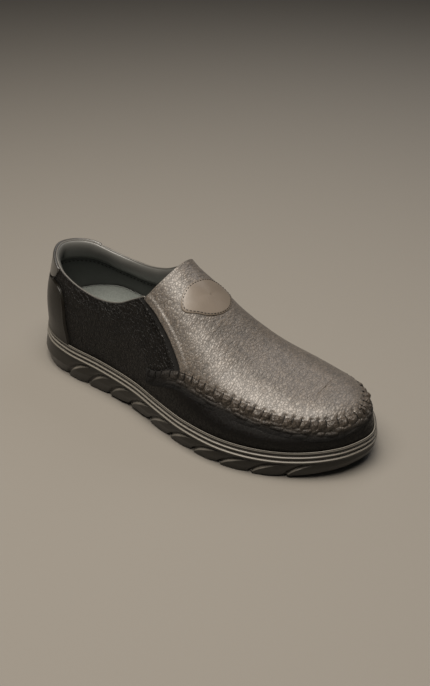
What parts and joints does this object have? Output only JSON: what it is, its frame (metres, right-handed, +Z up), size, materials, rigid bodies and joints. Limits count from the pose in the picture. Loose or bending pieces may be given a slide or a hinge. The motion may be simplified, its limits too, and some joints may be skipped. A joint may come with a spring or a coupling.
{
  "type": "slip-on leather shoe",
  "caption": "Men's black slip-on leather shoe, right foot: raised moccasin apron with a gathered seam, side elastic, padded collar, heel counter and moulded rubber cup sole.",
  "frame": {"origin": "on the floor, under the middle of the shoe's box", "axes": "+X from heel to toe, +Y to the inner (medial) side, +Z up"},
  "size_m": [0.2934, 0.1138, 0.1132],
  "materials": {
    "sole_rubber": "satin moulded rubber, slightly olive black",
    "grain_leather": "black tumbled leather with a pebbled grain and a satin gloss",
    "smooth_leather": "smooth black leather, satin",
    "lining": "dark grey smooth lining leather",
    "sock": "grey sock lining",
    "elastic": "black woven elastic"
  },
  "bodies": {
    "root": {"outsole": "sole_rubber", "upper": "grain_leather", "vamp_apron": "grain_leather", "moc_seam": "grain_leather", "gore_lateral": "elastic", "gore_medial": "elastic", "heel_counter": "smooth_leather", "heel_tab": "smooth_leather", "collar_pad": "lining", "insole": "sock", "badge_patch": "smooth_leather"}
  },
  "joints": []
}
